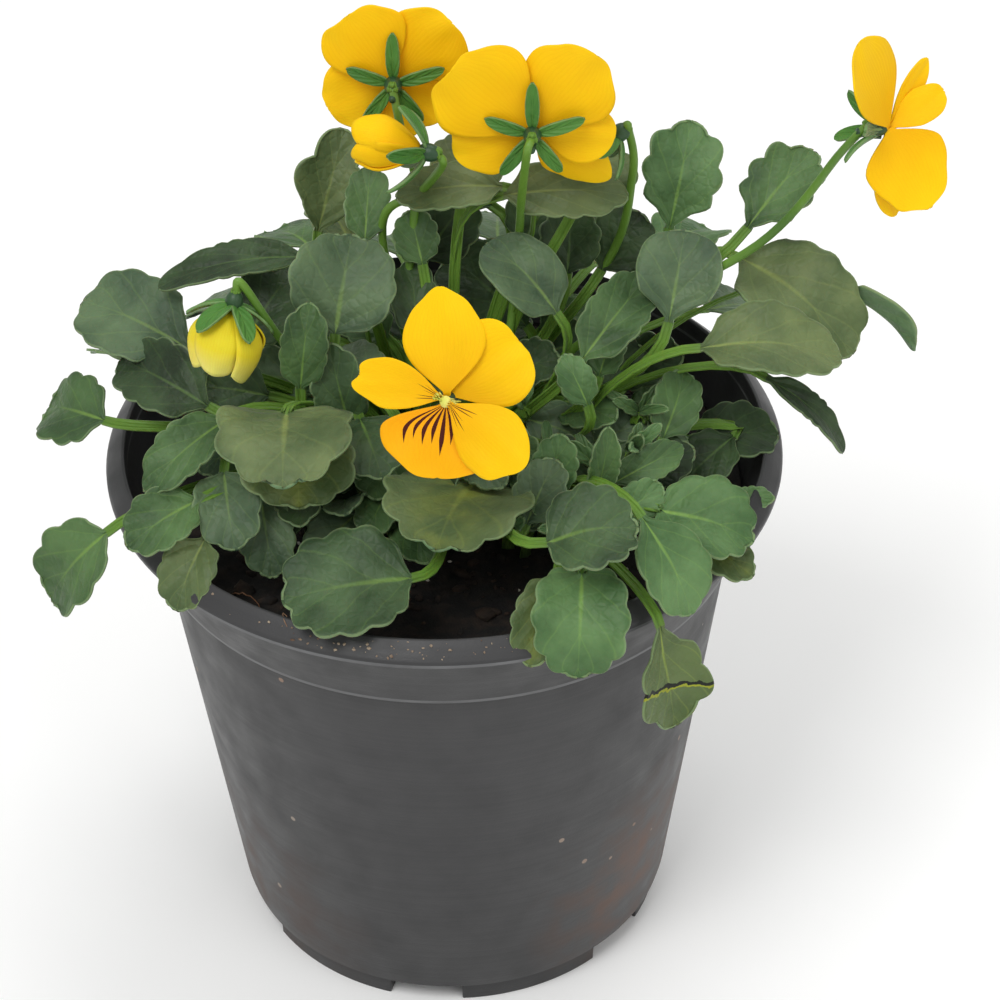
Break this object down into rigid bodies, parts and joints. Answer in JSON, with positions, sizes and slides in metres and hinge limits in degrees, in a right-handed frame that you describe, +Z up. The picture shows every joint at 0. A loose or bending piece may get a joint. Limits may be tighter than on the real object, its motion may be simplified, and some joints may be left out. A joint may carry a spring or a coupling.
{
  "type": "potted pansy",
  "caption": "Yellow-flowered bedding pansy in leaf, growing in compost in a round dark plastic nursery pot that stands on moulded feet.",
  "frame": {"origin": "centre of the object's outline seen from above, on the ground that the feet stand on; the pot's own axis is 7 mm towards -X of it", "axes": "+Z up along the pot's axis, -Y the front of the plant, where the open bloom faces, +X to the right of the front"},
  "size_m": [0.1586, 0.1224, 0.1858],
  "materials": {
    "pot_plastic": "satin",
    "compost": "matte",
    "stalk_green": "satin",
    "leaf_green": "satin",
    "petal_yellow": "matte",
    "petal_lemon": "matte"
  },
  "bodies": {
    "root": {"bloom_back_left_petal_left": "petal_yellow", "bloom_back_left_petal_lip": "petal_yellow", "bloom_back_left_petal_right": "petal_yellow", "bloom_back_left_petal_upper_left": "petal_yellow", "bloom_back_left_petal_upper_right": "petal_yellow", "bloom_back_left_stalk": "stalk_green", "bloom_back_middle_petal_left": "petal_yellow", "bloom_back_middle_petal_lip": "petal_yellow", "bloom_back_middle_petal_right": "petal_yellow", "bloom_back_middle_petal_upper_left": "petal_yellow", "bloom_back_middle_petal_upper_right": "petal_yellow", "bloom_back_middle_stalk": "stalk_green", "bloom_front_petal_left": "petal_yellow", "bloom_front_petal_lip": "petal_yellow", "bloom_front_petal_right": "petal_yellow", "bloom_front_petal_upper_left": "petal_yellow", "bloom_front_petal_upper_right": "petal_yellow", "bloom_front_stalk": "stalk_green", "bloom_right_petal_left": "petal_yellow", "bloom_right_petal_lip": "petal_yellow", "bloom_right_petal_right": "petal_yellow", "bloom_right_petal_upper_left": "petal_yellow", "bloom_right_petal_upper_right": "petal_yellow", "bloom_right_stalk": "stalk_green", "bud_right_petals": "petal_lemon", "bud_right_stalk": "stalk_green", "closing_bloom_back_petals": "petal_yellow", "closing_bloom_back_stalk": "stalk_green", "closing_bloom_left_petals": "petal_lemon", "closing_bloom_left_stalk": "stalk_green", "compost": "compost", "crown": "stalk_green", "leaf_back_lobed": "leaf_green", "leaf_back_right": "leaf_green", "leaf_back_upright": "leaf_green", "leaf_front_low": "leaf_green", "leaf_front_middle": "leaf_green", "leaf_front_over_rim": "leaf_green", "leaf_front_right": "leaf_green", "leaf_left_broad": "leaf_green", "leaf_left_cordate": "leaf_green", "leaf_left_inner": "leaf_green", "leaf_left_long_stalk": "stalk_green", "leaf_left_low": "leaf_green", "leaf_left_round": "leaf_green", "leaf_middle_dark": "leaf_green", "leaf_middle_light": "leaf_green", "leaf_rear_far_left": "leaf_green", "leaf_rear_far_right": "leaf_green", "leaf_rear_left": "leaf_green", "leaf_rear_middle": "leaf_green", "leaf_rear_right": "leaf_green", "leaf_right_bronze": "leaf_green", "leaf_right_front": "leaf_green", "leaf_right_long": "leaf_green", "leaf_right_narrow": "leaf_green", "leaf_right_over_rim": "leaf_green", "leaf_right_pointing_down": "leaf_green", "leaf_right_round": "leaf_green", "pot": "pot_plastic"}
  },
  "joints": []
}
